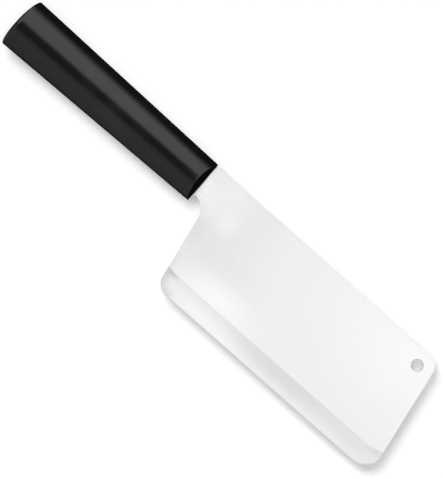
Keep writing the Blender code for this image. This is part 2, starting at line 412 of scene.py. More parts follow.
def wheelRim(name, center, radius, start, end, steps, width, axle):
    # the working part of a grinding wheel: a flat block of its rim, spun about its axle
    depth = 8 * mm
    startClean()
    bpy.ops.mesh.primitive_plane_add(size=1, location=(0, 0, 0))
    rim = rename(name)
    edit(rim, "VERT")
    work = bmesh.from_edit_mesh(rim.data)
    places = [(v.index, v.co.copy()) for v in work.verts]
    for index, was in places:
        reach = radius if was.x > 0 else radius - depth
        out, up = reach * math.cos(start), reach * math.sin(start)
        aside = math.copysign(width / 2, was.y)
        now = Vector(center) + Vector((out, aside, up) if axle == "Y" else (aside, out, up))
        bpy.ops.mesh.select_all(action="DESELECT")
        work = bmesh.from_edit_mesh(rim.data)
        work.verts.ensure_lookup_table()
        work.verts[index].select_set(True)
        bmesh.update_edit_mesh(rim.data)
        bpy.ops.transform.translate(value=now - was)
    bpy.ops.mesh.select_all(action="SELECT")
    bpy.ops.mesh.spin(
        steps=steps, angle=end - start, center=center,
        axis=(0, 1, 0) if axle == "Y" else (-1, 0, 0))
    bpy.ops.mesh.select_all(action="SELECT")
    bpy.ops.mesh.remove_doubles(threshold=0.001 * mm)
    choose(rim, "EDGE", lambda e: e.is_boundary)
    bpy.ops.mesh.fill_holes(sides=4)
    faceOut()
    done()
    return rim


def stamp():
    s = bladeSizes

    def neckStart(y):
        return handleSizes["frontReach"] - handleSizes["frontLean"] * y + s["gapAtHandle"]
    corners = [at(x, y) for x, y in (
        (neckStart(spineY), spineY), (neckStart(s["tangHalf"]), s["tangHalf"]),
        (-s["tangLength"], s["tangHalf"]), (-s["tangLength"], -s["tangHalf"]),
        (neckStart(-s["tangHalf"]), -s["tangHalf"]), (neckStart(-s["neckDrop"]), -s["neckDrop"]),
        (s["neckLength"], -s["neckDrop"]), (heelX, edgeY), (toeX, edgeY),
        (s["spineLength"], spineY))]
    blade = polygon("blade_steel", corners, -s["stock"] / 2)
    for i, radius in ((2, s["tangRound"]), (3, s["tangRound"]), (6, s["neckFillet"]),
                      (7, s["heelRound"]), (8, s["toeRound"]), (9, s["tipRound"])):
        roundCorner(blade, corners, i, radius, s["cornerSteps"])
    thicken(blade, s["stock"])
    cut(blade, pins("lock_holes", s["lockHole"], [at(x, 0) for x in s["lockHolesAt"]]))
    return blade


def grindFaces(blade):
    # flat up to the tip, running out to the full sheet before the neck
    s = bladeSizes
    face = s["ground"] / 2
    beyond = 10 * mm
    flat = block("flat_stone", (*at(s["runoutStart"], edgeY - beyond), face),
                 (*at(toeX + beyond, spineY + beyond), face + 2 * mm))
    cut(blade, otherFace(flat, "flat_stone_back"))
    cut(blade, flat)
    center = (*at(s["runoutStart"], (edgeY + spineY) / 2), face + s["runoutRadius"])
    start, end = -quarterTurn - math.radians(3), -quarterTurn + math.radians(0.2)
    wheel = wheelRim("runout_wheel", center, s["runoutRadius"], start, end, 32,
                     s["height"] + 2 * beyond, "Y")
    cut(blade, otherFace(wheel, "runout_wheel_back"))
    cut(blade, wheel)


def grindBevel(blade):
    s = bladeSizes
    low = Vector((edgeY + s["fineBevel"], s["edgeThickness"] / 2))
    high = Vector((edgeY + s["bevelHeight"], s["ground"] / 2))
    chord, radius = high - low, s["wheelRadius"]
    away = Vector((-chord.y, chord.x)).normalized()
    axle = (low + high) / 2 + away * math.sqrt(radius**2 - chord.length_squared / 4)
    center = (frontX + (heelX + toeX) / 2, axisY + axle.x, axle.y)
    start = math.atan2(low.y - axle.y, low.x - axle.x) - math.radians(1.2)
    end = math.atan2(high.y - axle.y, high.x - axle.x) + math.radians(3)
    wheel = wheelRim("hollow_wheel", center, radius, start, end, 64, toeX - heelX + 60 * mm, "X")
    # at both ends the wheel was drawn upwards, which curls the grind line
    edit(wheel, "FACE")
    step = s["curlStep"]
    for side, curlFrom, curl in (
            (1, s["toeCurlFrom"], s["toeCurl"]), (-1, s["heelCurlFrom"], s["heelCurl"])):
        for i in range(s["curlSteps"]):
            bpy.ops.mesh.select_all(action="SELECT")
            bpy.ops.mesh.bisect(
                plane_co=(frontX + curlFrom + side * i * step, 0, 0), plane_no=(1, 0, 0))
        for i in range(s["curlSteps"]):
            halfWay = frontX + curlFrom + side * (i + 0.5) * step
            choose(wheel, "VERT", lambda v: (v.co.x - halfWay) * side > 0)
            bpy.ops.transform.translate(value=(0, curl * step**2 * (2 * i + 1), 0))
    done()
    cut(blade, otherFace(wheel, "hollow_wheel_back"))
    cut(blade, wheel)


def honeEdge(blade):
    # what is left inside this double-sided lozenge keeps a fine bevel along the edge
    # and round the toe and the heel, where it runs out
    s = bladeSizes
    land = s["edgeLand"] / 2
    toeCorner = toeCenterX + s["toeRound"] / math.tan((quarterTurn + s["toeLean"]) / 2)
    heelCorner = heelCenterX - s["heelRound"] / math.tan((quarterTurn + s["heelLean"]) / 2)
    top, underTang, pastTang = 80 * mm, 36 * mm, -120 * mm
    corners = [at(x, y) for x, y in (
        (pastTang, edgeY + top), (pastTang, edgeY + underTang),
        (heelCorner - underTang * math.tan(s["heelLean"]), edgeY + underTang),
        (heelCorner, edgeY), (toeCorner, edgeY),
        (toeCorner + top * math.tan(s["toeLean"]), edgeY + top))]
    stone = polygon("edge_stone", corners, -land)
    roundCorner(stone, corners, 3, s["heelRound"], s["cornerSteps"])
    roundCorner(stone, corners, 4, s["toeRound"], s["cornerSteps"])
    thicken(stone, 2 * land)
    edit(stone, "FACE")
    rise = 1.04 * mm
    inset = rise * s["fineBevel"] / (s["edgeThickness"] / 2 - land)
    for side in (1, -1):
        choose(stone, "FACE", lambda f: f.normal.z * side > 0.9)
        bpy.ops.mesh.inset(thickness=inset, depth=rise)
    faceOut()
    done()
    cut(blade, stone, "INTERSECT")


def mergeClose(blade):
    # clears the slivers that the stones leave where their cuts run out
    editAll(blade, "VERT")
    bpy.ops.mesh.remove_doubles(threshold=0.004 * mm)
    done()


def easeOutline(blade):
    # the stamped outline is rubbed round, before the bevel is ground into it
    s = bladeSizes
    edit(blade, "EDGE")

    def onOutline(e):
        tilts = sorted(abs(f.normal.z) for f in e.link_faces)
        outside = max(v.co.x for v in e.verts) > frontX + s["easedFrom"]
        return outside and len(tilts) == 2 and tilts[0] < 0.1 and tilts[1] > 0.9
    print("outline edges eased", choose(blade, "EDGE", onOutline))
    roundEdges(s["easedEdge"], 2)
    done()


def makeBlade():
    s = bladeSizes
    blade = stamp()
    print("blade stamped,", len(blade.data.polygons), "faces")
    grindFaces(blade)
    mergeClose(blade)
    easeOutline(blade)
    grindBevel(blade)
    mergeClose(blade)
    print("faces and bevel ground,", len(blade.data.polygons), "faces")
    honeEdge(blade)
    hole = at(holeX, holeY)
    cut(blade, pins("hanging_hole", s["hole"], [hole], s["holeSides"]))
    edit(blade, "EDGE")

    def onHoleRim(e):
        away = [(v.co.xy - Vector(hole)).length - s["hole"] / 2 for v in e.verts]
        level = abs(e.verts[0].co.z - e.verts[1].co.z) < close
        return level and all(abs(distance) < 2 * close for distance in away)
    print("hole rim edges", choose(blade, "EDGE", onHoleRim))
    roundEdges(s["holeRim"], 2)
    done()
    return blade


blade = makeBlade()
print("blade finished,", len(blade.data.polygons), "faces")


# Helpers for materials

noiseRun = (0.3, 0.7)          # where most of a noise's values lie
noiseReach = (0.25, 0.75)      # where nearly all of them lie


def addNode(tree, kind, values=None, **settings):
    node = tree.nodes.new(kind)
    for name, value in settings.items():
        setattr(node, name, value)
    for name, value in (values or {}).items():
        node.inputs[name].default_value = value
    return node


def wire(tree, start, output, end, entry):
    tree.links.new(start.outputs[output], end.inputs[entry])


def startGroup(name, takes, gives):
    # every group takes coordinates, and after them what is named here
    tree = bpy.data.node_groups.new(name, "ShaderNodeTree")
    tree.interface.new_socket("Vector", in_out="INPUT", socket_type="NodeSocketVector")
    for title, value in takes.items():
        kind = "NodeSocketVector" if isinstance(value, tuple) else "NodeSocketFloat"
        socket = tree.interface.new_socket(title, in_out="INPUT", socket_type=kind)
        socket.default_value = value
    for title in gives:
        tree.interface.new_socket(title, in_out="OUTPUT", socket_type="NodeSocketFloat")
    return tree, tree.nodes.new("NodeGroupInput"), tree.nodes.new("NodeGroupOutput")


def useGroup(tree, group, coordinates, values):
    node = addNode(tree, "ShaderNodeGroup", values, node_tree=group)
    wire(tree, *coordinates, node, "Vector")
    return node


def startMaterial(name):
    material = bpy.data.materials.new(name)
    material.use_nodes = True
    tree = material.node_tree
    tree.nodes.clear()
    shader = tree.nodes.new("ShaderNodeBsdfPrincipled")
    output = tree.nodes.new("ShaderNodeOutputMaterial")
    wire(tree, shader, "BSDF", output, "Surface")
    return material, tree, shader


def measureFromHandle(tree, place):
    # coordinates from the handle's front end and axis, as in the sizes
    node = addNode(tree, "ShaderNodeMapping", {"Location": (-frontX, -axisY, 0)})
    wire(tree, place, "Object", node, "Vector")
    return node


def splitAxes(tree, source, output):
    node = addNode(tree, "ShaderNodeSeparateXYZ")
    wire(tree, source, output, node, "Vector")
    return node


def spread(tree, source, output, low, high, toLow, toHigh, smooth=False):
    # a Map Range node, for turning one run of values into another
    values = {"From Min": low, "From Max": high, "To Min": toLow, "To Max": toHigh}
    node = addNode(
        tree, "ShaderNodeMapRange", values, interpolation_type="SMOOTHSTEP" if smooth else "LINEAR")
    wire(tree, source, output, node, "Value")
    return node


def combine(tree, operation, first, firstOutput, second, secondOutput, kind="ShaderNodeMath"):
    node = addNode(tree, kind, operation=operation)
    wire(tree, first, firstOutput, node, 0)
    wire(tree, second, secondOutput, node, 1)
    return node


def multiply(tree, *parts):
    return combine(tree, "MULTIPLY", *parts)


def blend(tree, first, second, output, mask, kind="FLOAT"):
    # goes from the first to the second, as far as the mask says
    node = addNode(tree, "ShaderNodeMix", data_type=kind)
    wire(tree, first, output, node, "A")
    wire(tree, second, output, node, "B")
    wire(tree, mask, "Result", node, "Factor")
    return node


def tint(tree, base, baseOutput, mask, maskOutput, color):
    # lays a colour over what is there, as far as the mask says
    node = addNode(tree, "ShaderNodeMix", {"B": (*color, 1)}, data_type="RGBA")
    wire(tree, base, baseOutput, node, "A")
    wire(tree, mask, maskOutput, node, "Factor")
    return node


def plainColor(tree, color):
    node = addNode(tree, "ShaderNodeRGB")
    node.outputs["Color"].default_value = (*color, 1)
    return node


def makeBrushedLines():
    # long fine lines along X: Lines is how many there are in a metre, Stretch how long they are
    tree, into, out = startGroup(
        "brushed lines", {"Lines": 5000, "Stretch": 60}, ("Fine", "Broad"))
    along = combine(tree, "DIVIDE", into, "Lines", into, "Stretch")
    scale = addNode(tree, "ShaderNodeCombineXYZ")
    wire(tree, along, "Value", scale, "X")
    wire(tree, into, "Lines", scale, "Y")
    wire(tree, into, "Lines", scale, "Z")
    stretched = combine(tree, "MULTIPLY", into, "Vector", scale, "Vector", "ShaderNodeVectorMath")
    fine = addNode(tree, "ShaderNodeTexNoise", {"Scale": 1, "Detail": 3, "Roughness": 0.6})
    wire(tree, stretched, "Vector", fine, "Vector")
    wire(tree, fine, "Fac", out, "Fine")
    broad = addNode(tree, "ShaderNodeTexNoise", {"Scale": 0.16, "Detail": 2, "Roughness": 0.5})
    wire(tree, stretched, "Vector", broad, "Vector")
    wire(tree, broad, "Fac", out, "Broad")
    return tree


def makeHandlingMarks():
    # hairline scratches in broken runs, and faint smudges where the thing is held and wiped
    tree, into, out = startGroup(
        "handling marks", {"Size": 0.02, "Turn": 0.4}, ("Scratches", "Smudges"))
    perMetre = addNode(tree, "ShaderNodeMath", {0: 1}, operation="DIVIDE")
    wire(tree, into, "Size", perMetre, 1)

    def cloud(source, values):
        node = addNode(tree, "ShaderNodeTexNoise", values)
        wire(tree, source, "Vector", node, "Vector")
        wire(tree, perMetre, "Value", node, "Scale")
        return node

    turned = addNode(tree, "ShaderNodeVectorRotate", rotation_type="Z_AXIS")
    wire(tree, into, "Vector", turned, "Vector")
    wire(tree, into, "Turn", turned, "Angle")
    slim = addNode(tree, "ShaderNodeVectorMath", {1: (1, 22, 22)}, operation="MULTIPLY")
    wire(tree, turned, "Vector", slim, 0)
    # a scratch follows the line where the stretched noise passes its middle
    middle = addNode(tree, "ShaderNodeMath", {1: 0.5}, operation="SUBTRACT")
    wire(tree, cloud(slim, {"Detail": 1, "Roughness": 0.4}), "Fac", middle, 0)
    offMiddle = addNode(tree, "ShaderNodeMath", operation="ABSOLUTE")
    wire(tree, middle, "Value", offMiddle, 0)
    line = spread(tree, offMiddle, "Value", 0.004, 0.012, 1, 0)
    broken = spread(tree, cloud(into, {"Detail": 2}), "Fac", 0.52, 0.66, 0, 1)
    scratches = multiply(tree, line, "Result", broken, "Result")
    wire(tree, scratches, "Value", out, "Scratches")
    rubbed = cloud(into, {"Detail": 4, "Roughness": 0.55, "Distortion": 0.4})
    smudges = spread(tree, rubbed, "Fac", 0.42, 0.72, 0, 1, smooth=True)
    wire(tree, smudges, "Result", out, "Smudges")
    return tree


def makeSoftPatch():
    # 1 at the centre, falling gently to 0 at the patch's own size
    tree, into, out = startGroup("soft patch", {"Centre": (0, 0, 0), "Size": (1, 1, 1)}, ("Mask",))
    away = combine(tree, "SUBTRACT", into, "Vector", into, "Centre", "ShaderNodeVectorMath")
    share = combine(tree, "DIVIDE", away, "Vector", into, "Size", "ShaderNodeVectorMath")
    length = addNode(tree, "ShaderNodeVectorMath", operation="LENGTH")
    wire(tree, share, "Vector", length, 0)
    mask = spread(tree, length, "Value", 0, 1, 1, 0, smooth=True)
    wire(tree, mask, "Result", out, "Mask")
    return tree


brushedLines = makeBrushedLines()
handlingMarks = makeHandlingMarks()
softPatch = makeSoftPatch()


def patchAt(tree, coordinates, center, size):
    # a soft patch, with its centre and size in mm as on the steel
    return useGroup(tree, softPatch, (coordinates, "Vector"), {
        "Centre": (center[0] * mm, center[1] * mm, 0), "Size": (size[0] * mm, size[1] * mm, 1)})


# Satin steel: fine lines along the flats, finer ones across the bevel

steelValues = {
    "color": (0.875, 0.885, 0.895),
    "roughness": (0.34, 0.42),
    "bevelGrindLineShade": (0.79, 0.80, 0.81),
    "bevelEdgeLight": (0.88, 0.885, 0.89),
    "bevelRoughness": (0.26, 0.32),
    "paintedLightAndShade": (
        # painted highlights and shade: centre and size in mm from the handle's front end and axis,
        # colour, strength
        ((124, 4), (72, 46), (0.965, 0.97, 0.975), 0.95),
        ((21, -20), (42, 26), (0.78, 0.785, 0.79), 0.68),
        ((39, -35), (30, 13), (0.97, 0.975, 0.98), 0.95),
        ((32, 3), (20, 24), (0.80, 0.81, 0.815), 0.55),
        ((7, -2), (22, 14), (0.96, 0.96, 0.965), 0.22),
        ((2, -5), (14, 11), (1.0, 1.0, 1.0), 0.75),
        ((11.5, -20), (7, 12), (0.72, 0.725, 0.73), 0.38),
        ((20, -6.5), (9, 9), (0.97, 0.975, 0.98), 0.4),
        ((28, 9.3), (42, 2.4), (0.72, 0.725, 0.73), 0.2),
        ((13.2, -36), (3.4, 9), (0.70, 0.705, 0.71), 0.5),
        ((112, 10), (40, 5), (0.86, 0.865, 0.87), 0.35),
    ),
    # painted highlights and shade on the bevel, in the same columns
    "bevelPaintedLightAndShade": (
        ((43, -45), (36, 9), (0.95, 0.955, 0.96), 0.9),
        ((84, -41), (58, 7.5), (0.69, 0.70, 0.715), 0.75),
        ((128, -42), (22, 9), (0.76, 0.765, 0.775), 0.5),
        ((136, -38), (7, 3.5), (0.66, 0.67, 0.68), 0.6),
        ((13.6, -38.6), (9, 2.8), (0.40, 0.405, 0.40), 0.75),
    ),
    "bevelBlend": (-0.25 * mm, 0.05 * mm),     # from the grind line, where one finish takes over
    "heelShadeColor": (0.62, 0.625, 0.62),
    # the two rings of painted shade: where they begin and end in from the rim, strength
    "heelShadeRings": ((5.0 * mm, 0.6 * mm, 0.62), (0.9 * mm, 0.3 * mm, 0.6)),
    "heelFade": (-1 * mm, 5 * mm),             # from the middle of the heel's round
    "fineBevelShadeColor": (0.68, 0.685, 0.69),
    "fineBevelLevel": (0.975, 0.985),          # a level face is 1, an upright one 0
    "easedShadeColor": (0.66, 0.665, 0.67),
    "easedLevel": (0.93, 0.96),
    "easedTipHighlightColor": (0.94, 0.945, 0.95),
    "tipFrom": (12 * mm, 26 * mm),             # where the rim turns lighter
    "wallLevel": (0.2, 0.3),
    "holeRimShadeColor": (0.66, 0.665, 0.67),
    "holeBlend": 0.03 * mm,
    "handleShadowColor": (0.38, 0.38, 0.375),
    "handleShadowWide": (0.40 * mm, 0.75 * mm),
    "handleShadowFades": (5.5 * mm, 0),
    "flatLines": {"Lines": 8500, "Stretch": 110},
    "bevelLines": {"Lines": 9000, "Stretch": 50},
    "broadShade": (0.985, 1.0),
    "fineShade": (0.965, 1.025),
    "lineBump": {"Strength": 0.35, "Distance": 0.000004},
    "marks": {"Size": 0.03, "Turn": 0.35},
    "scratchColor": (0.72, 0.73, 0.74),
    "scratchStrength": 0.10,
    "smudgeRoughness": 0.03,
    "neckPatch": ((0, -2), (9, 14)),           # polished smoother, centre and size in mm
    "neckRoughness": 0.25,
    "neckFull": 0.7,                           # the patch counts in full from here
}


def followCurls(tree, axes):
    # height on the steel, less what the grind line has risen where it curls
    b = bladeSizes
    reach = 20 * mm
    height, output = axes, "Y"
    for start, end, curl in ((b["toeCurlFrom"], b["toeCurlFrom"] + reach, b["toeCurl"]),
                             (b["heelCurlFrom"], b["heelCurlFrom"] - reach, b["heelCurl"])):
        way = spread(tree, axes, "X", start, end, 0, reach)
        square = multiply(tree, way, "Result", way, "Result")
        lowered = addNode(tree, "ShaderNodeMath", {1: -curl}, operation="MULTIPLY_ADD")
        wire(tree, square, "Value", lowered, 0)
        wire(tree, height, output, lowered, 2)
        height, output = lowered, "Value"
    return height


def layPaintedLightAndShade(tree, fromHandle, color, output, paintedLightAndShade):
    # painted highlights and shade: broad lighter and darker patches over the colour
    for center, size, patchColor, strength in paintedLightAndShade:
        patch = patchAt(tree, fromHandle, center, size)
        share = spread(tree, patch, "Mask", 0, 1, 0, strength)
        color, output = tint(tree, color, output, share, "Result", patchColor), "Result"
    return color


def colorBevel(tree, fromHandle, axes, inPlane, upBevel):
    # painted shade and light across the bevel: darker at the grind line and lighter towards the
    # edge
    s = steelValues
    ends = {"A": (*s["bevelEdgeLight"], 1), "B": (*s["bevelGrindLineShade"], 1)}
    color = addNode(tree, "ShaderNodeMix", ends, data_type="RGBA")
    wire(tree, upBevel, "Result", color, "Factor")
    color = layPaintedLightAndShade(tree, fromHandle, color, "Result", s["bevelPaintedLightAndShade"])
    # the round of the heel gets painted shade, softly inside and darker at the rim
    radius = bladeSizes["heelRound"]
    middle = (heelCenterX, edgeY + radius, 0)
    outward = addNode(tree, "ShaderNodeVectorMath", {1: middle}, operation="SUBTRACT")
    wire(tree, inPlane, "Vector", outward, 0)
    quarter = addNode(tree, "ShaderNodeVectorMath", {1: (0, 0.5 * mm, 0)}, operation="MINIMUM")
    wire(tree, outward, "Vector", quarter, 0)
    fromHeel = addNode(tree, "ShaderNodeVectorMath", operation="LENGTH")
    wire(tree, quarter, "Vector", fromHeel, 0)
    fadeStart, fadeEnd = [heelCenterX + way for way in s["heelFade"]]
    nearHeel = spread(tree, axes, "X", fadeStart, fadeEnd, 1, 0, smooth=True)
    for inner, outer, strength in s["heelShadeRings"]:
        ring = spread(
            tree, fromHeel, "Value", radius - inner, radius - outer, 0, strength, smooth=True)
        onHeel = multiply(tree, ring, "Result", nearHeel, "Result")
        color = tint(tree, color, "Result", onHeel, "Value", s["heelShadeColor"])
    return color


def colorRims(tree, place, axes, inPlane, color):
    # painted shade on the fine bevel and the eased outline, which are told by their slope
    s = steelValues
    normalAxes = splitAxes(tree, place, "Normal")
    level = addNode(tree, "ShaderNodeMath", operation="ABSOLUTE")
    wire(tree, normalAxes, "Z", level, 0)
    fineBevel = spread(tree, level, "Value", *s["fineBevelLevel"], 1, 0)
    color = tint(tree, color, "Result", fineBevel, "Result", s["fineBevelShadeColor"])
    eased = spread(tree, level, "Value", *s["easedLevel"], 1, 0)
    color = tint(tree, color, "Result", eased, "Result", s["easedShadeColor"])
    # towards the tip the rim gets a painted highlight, but not the wall below it
    far = spread(tree, axes, "X", *s["tipFrom"], 0, 1)
    notWall = spread(tree, level, "Value", *s["wallLevel"], 0, 1)
    farRim = multiply(tree, eased, "Result", far, "Result")
    brightRim = multiply(tree, farRim, "Value", notWall, "Result")
    color = tint(tree, color, "Result", brightRim, "Value", s["easedTipHighlightColor"])
    # painted shade on the punched wall and the rim of the hanging hole
    fromHole = addNode(tree, "ShaderNodeVectorMath", {1: (holeX, holeY, 0)}, operation="DISTANCE")
    wire(tree, inPlane, "Vector", fromHole, 0)
    rim, soft = bladeSizes["hole"] / 2 + bladeSizes["holeRim"], s["holeBlend"]
    inHole = spread(tree, fromHole, "Value", rim - soft, rim + soft, 1, 0)
    return tint(tree, color, "Result", inHole, "Result", s["holeRimShadeColor"])


def makeSteel():
    s = steelValues
    material, tree, shader = startMaterial("satin steel")
    place = addNode(tree, "ShaderNodeTexCoord")
    fromHandle = measureFromHandle(tree, place)
    axes = splitAxes(tree, fromHandle, "Vector")
    inPlane = addNode(tree, "ShaderNodeCombineXYZ")
    wire(tree, axes, "X", inPlane, "X")
    wire(tree, axes, "Y", inPlane, "Y")

    height = followCurls(tree, axes)
    grind = edgeY + bladeSizes["bevelHeight"]
    blendStart, blendEnd = [grind + way for way in s["bevelBlend"]]
    onBevel = spread(tree, height, "Value", blendStart, blendEnd, 1, 0)
    upBevel = spread(tree, height, "Value", edgeY, grind, 0, 1)
    flats = layPaintedLightAndShade(tree, fromHandle, plainColor(tree, s["color"]), "Color", s["paintedLightAndShade"])
    bevel = colorBevel(tree, fromHandle, axes, inPlane, upBevel)
    color = blend(tree, flats, bevel, "Result", onBevel, "RGBA")
    color = colorRims(tree, place, axes, inPlane, color)

    # a painted contact shadow: a dark line along the handle, fainter towards the spine
    beside = spread(tree, axes, "X", *s["handleShadowWide"], 1, 0)
    along = spread(tree, axes, "Y", *s["handleShadowFades"], 0, 1)
    handleShadowLine = multiply(tree, beside, "Result", along, "Result")
    color = tint(tree, color, "Result", handleShadowLine, "Value", s["handleShadowColor"])

    # brushing
    flatLines = useGroup(tree, brushedLines, (fromHandle, "Vector"), s["flatLines"])
    turned = addNode(tree, "ShaderNodeMapping", {"Rotation": (0, 0, quarterTurn)})
    wire(tree, fromHandle, "Vector", turned, "Vector")
    bevelLines = useGroup(tree, brushedLines, (turned, "Vector"), s["bevelLines"])
    fine = blend(tree, flatLines, bevelLines, "Fine", onBevel)
    broad = blend(tree, flatLines, bevelLines, "Broad", onBevel)
    broadShade = spread(tree, broad, "Result", *noiseRun, *s["broadShade"])
    fineShade = spread(tree, fine, "Result", *noiseRun, *s["fineShade"])
    shade = multiply(tree, broadShade, "Result", fineShade, "Result")
    streaked = addNode(
        tree, "ShaderNodeMix", {"Factor": 1}, data_type="RGBA", blend_type="MULTIPLY")
    wire(tree, color, "Result", streaked, "A")
    wire(tree, shade, "Value", streaked, "B")

    # scratches and smudges
    marks = useGroup(tree, handlingMarks, (fromHandle, "Vector"), s["marks"])
    faint = spread(tree, marks, "Scratches", 0, 1, 0, s["scratchStrength"])
    marked = tint(tree, streaked, "Result", faint, "Result", s["scratchColor"])
    wire(tree, marked, "Result", shader, "Base Color")

    # the neck beside the handle is polished smoother, and its lines are polished away
    flatRough = spread(tree, flatLines, "Fine", *noiseReach, *s["roughness"])
    bevelRough = spread(tree, bevelLines, "Fine", *noiseReach, *s["bevelRoughness"])
    rough = blend(tree, flatRough, bevelRough, "Result", onBevel)
    neck = patchAt(tree, fromHandle, *s["neckPatch"])
    onNeck = spread(tree, neck, "Mask", 0, s["neckFull"], 0, 1)
    polished = addNode(tree, "ShaderNodeMix", {"B": s["neckRoughness"]})
    wire(tree, rough, "Result", polished, "A")
    wire(tree, onNeck, "Result", polished, "Factor")
    smudged = addNode(tree, "ShaderNodeMath", {1: s["smudgeRoughness"]}, operation="MULTIPLY_ADD")
    wire(tree, marks, "Smudges", smudged, 0)
    wire(tree, polished, "Result", smudged, 2)
    wire(tree, smudged, "Value", shader, "Roughness")
    lineDepth = spread(tree, neck, "Mask", 0, s["neckFull"], 1, 0)
    lines = multiply(tree, fine, "Result", lineDepth, "Result")
    bump = addNode(tree, "ShaderNodeBump", s["lineBump"])
    wire(tree, lines, "Value", bump, "Height")
    wire(tree, bump, "Normal", shader, "Normal")
    shader.inputs["Metallic"].default_value = 1
    return material


steel = makeSteel()


# Black resin: almost no shine of its own, with the sheen of the moulded skin as a coat

resinValues = {
    "color": (0.0062, 0.0062, 0.0066),
    "wornColor": (0.013, 0.013, 0.0135),
    "roughness": (0.46, 0.56),
    "coatRoughness": 0.28,
    "coatIor": 1.645,
    "spineMatte": (0.46, 0.76),    # share of the half height where the sheen ends
    "spineMatteShift": 0.05,       # it ends this much nearer the spine at the butt
    "bellySheen": 0.35,
    "bellyFrom": (0.02, -0.18),
    "bellyMatte": (-0.45, -1.0),
    "bellyEndSheen": 0.65,
    "frontMatte": (0.3, 0.7),      # the normal's share along X
    "buttMatte": (-0.93, -0.7),
    "buttSheen": 0.1,
    "rimMatte": (-0.86, -0.98),
    "rimSheen": 0.25,
    "grain": {"Scale": 2600, "Detail": 2, "Roughness": 0.5},
    "grainBump": {"Strength": 0.4, "Distance": 0.000025},
    "marks": {"Size": 0.018, "Turn": 1.1},
    "scratchColor": (0.03, 0.03, 0.031),
    "scratchStrength": 0.12,
    "grip": {"Centre": (-0.055, 0, 0), "Size": (0.06, 0.02, 0.02)},
}


def makeSheen(tree, place, axes):
    # how much of the coat shows: the spine side, the dark line and the ends are matte
    s, h = resinValues, handleSizes
    domeX = h["domeDepth"] - h["length"]
    halfHeight = spread(tree, axes, "X", domeX, 0, h["buttHeight"] / 2, h["frontHeight"] / 2)
    share = combine(tree, "DIVIDE", axes, "Y", halfHeight, "Result")
    shift = spread(tree, axes, "X", -h["length"], 0, s["spineMatteShift"], 0)
    shifted = combine(tree, "SUBTRACT", share, "Value", shift, "Result")
    # the sloped front and the butt keep the dull skin of the mould
    normalAxes = splitAxes(tree, place, "Normal")
    sheen = spread(tree, shifted, "Value", *s["spineMatte"], 1, 0, smooth=True)
    output = "Result"
    for part in (
            spread(tree, share, "Value", *s["bellyFrom"], 1, s["bellySheen"], smooth=True),
            spread(tree, share, "Value", *s["bellyMatte"], 1, s["bellyEndSheen"], smooth=True),
            spread(tree, share, "Value", *s["rimMatte"], 1, s["rimSheen"]),
            spread(tree, normalAxes, "X", *s["frontMatte"], 1, 0),
            spread(tree, normalAxes, "X", *s["buttMatte"], s["buttSheen"], 1, smooth=True)):
        sheen, output = multiply(tree, sheen, output, part, "Result"), "Value"
    return sheen


def makeResin():
    s = resinValues
    material, tree, shader = startMaterial("black resin")
    place = addNode(tree, "ShaderNodeTexCoord")
    fromHandle = measureFromHandle(tree, place)
    axes = splitAxes(tree, fromHandle, "Vector")
    wire(tree, makeSheen(tree, place, axes), "Value", shader, "Coat Weight")

    # rubbed lighter where the hand holds it
    marks = useGroup(tree, handlingMarks, (fromHandle, "Vector"), s["marks"])
    grip = useGroup(tree, softPatch, (fromHandle, "Vector"), s["grip"])
    worn = multiply(tree, marks, "Smudges", grip, "Mask")
    rubbed = tint(tree, plainColor(tree, s["color"]), "Color", worn, "Value", s["wornColor"])
    faint = spread(tree, marks, "Scratches", 0, 1, 0, s["scratchStrength"])
    scratched = tint(tree, rubbed, "Result", faint, "Result", s["scratchColor"])
    wire(tree, scratched, "Result", shader, "Base Color")

    grain = addNode(tree, "ShaderNodeTexNoise", s["grain"])
    wire(tree, fromHandle, "Vector", grain, "Vector")
    rough = spread(tree, grain, "Fac", *noiseRun, *s["roughness"])
    wire(tree, rough, "Result", shader, "Roughness")
    bump = addNode(tree, "ShaderNodeBump", s["grainBump"])
    wire(tree, grain, "Fac", bump, "Height")
    wire(tree, bump, "Normal", shader, "Normal")
    wire(tree, bump, "Normal", shader, "Coat Normal")
    shader.inputs["Specular IOR Level"].default_value = 0
    shader.inputs["Coat Roughness"].default_value = s["coatRoughness"]
    shader.inputs["Coat IOR"].default_value = s["coatIor"]
    return material


resin = makeResin()
for piece, node, slot, material, angle in (
        (handle, "handle", "black_resin", resin, 24),
        (blade, "blade", "satin_steel", steel, 3.5)):
    piece.data.materials.clear()
    piece.data.materials.append(material)
    makeActive(piece)
    bpy.ops.object.shade_smooth_by_angle(angle=math.radians(angle))
    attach(piece, "root")
    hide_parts(node)
print("materials made")


# Studio: white floor under the handle's underside, two soft lamps, a white world

studio = {
    "floorUnder": ((-2.8 * mm, -7.9 * mm), (-105.6 * mm, -9.0 * mm)),    # x and z along the handle
    "floorRadius": 0.42,
    "floorColor": (0.8, 0.8, 0.8),
    "floorSolid": 0.25,            # above this its fade leaves it solid
    "floorPatches": (
        # lighter and darker places of the shadow: centre and size in mm as on the steel, share
        ((6.8, -11.2), (5.5, 6.3), 0.55),
        ((125.4, 0.9), (2.4, 2.4), 0.25),
        ((-52, -15.2), (80, 6), 0.14),
        ((-56, -17), (70, 4), 0.25),
        ((-55, 14), (80, 5.5), 0.42),
        ((-109.5, 1.5), (7, 16), 0.25),
        ((140.3, -50.5), (8, 7), -0.2),
        ((120, -51.6), (46, 3.8), -0.22),
    ),
    "floorGlow": 0.25,             # share of the floor's white that the camera sees without shadow
    "worldLevel": 0.22,
    "keyLevel": 0.52,              # what each lamp gives a level floor, where all together make 1
    "keyAngle": math.radians(34),
    "keyHeight": math.radians(52),
    "keyFrom": (-0.916, 0.345),
    "topLevel": 0.34,
    "topAngle": math.radians(55),
    "topHeight": 1.5,
    "cameraOver": (0.00755, 0.00469),
    "cameraDistance": 2.0,
    "cameraTurn": math.radians(41.397),
    "viewHeight": 0.21076,
    "sensorWidth": 36,
    "clip": (0.05, 10),
    "flag": ((-0.15, -0.0163), (-0.0206, -0.0003), 0.0275),    # x, y from the axis, height
}


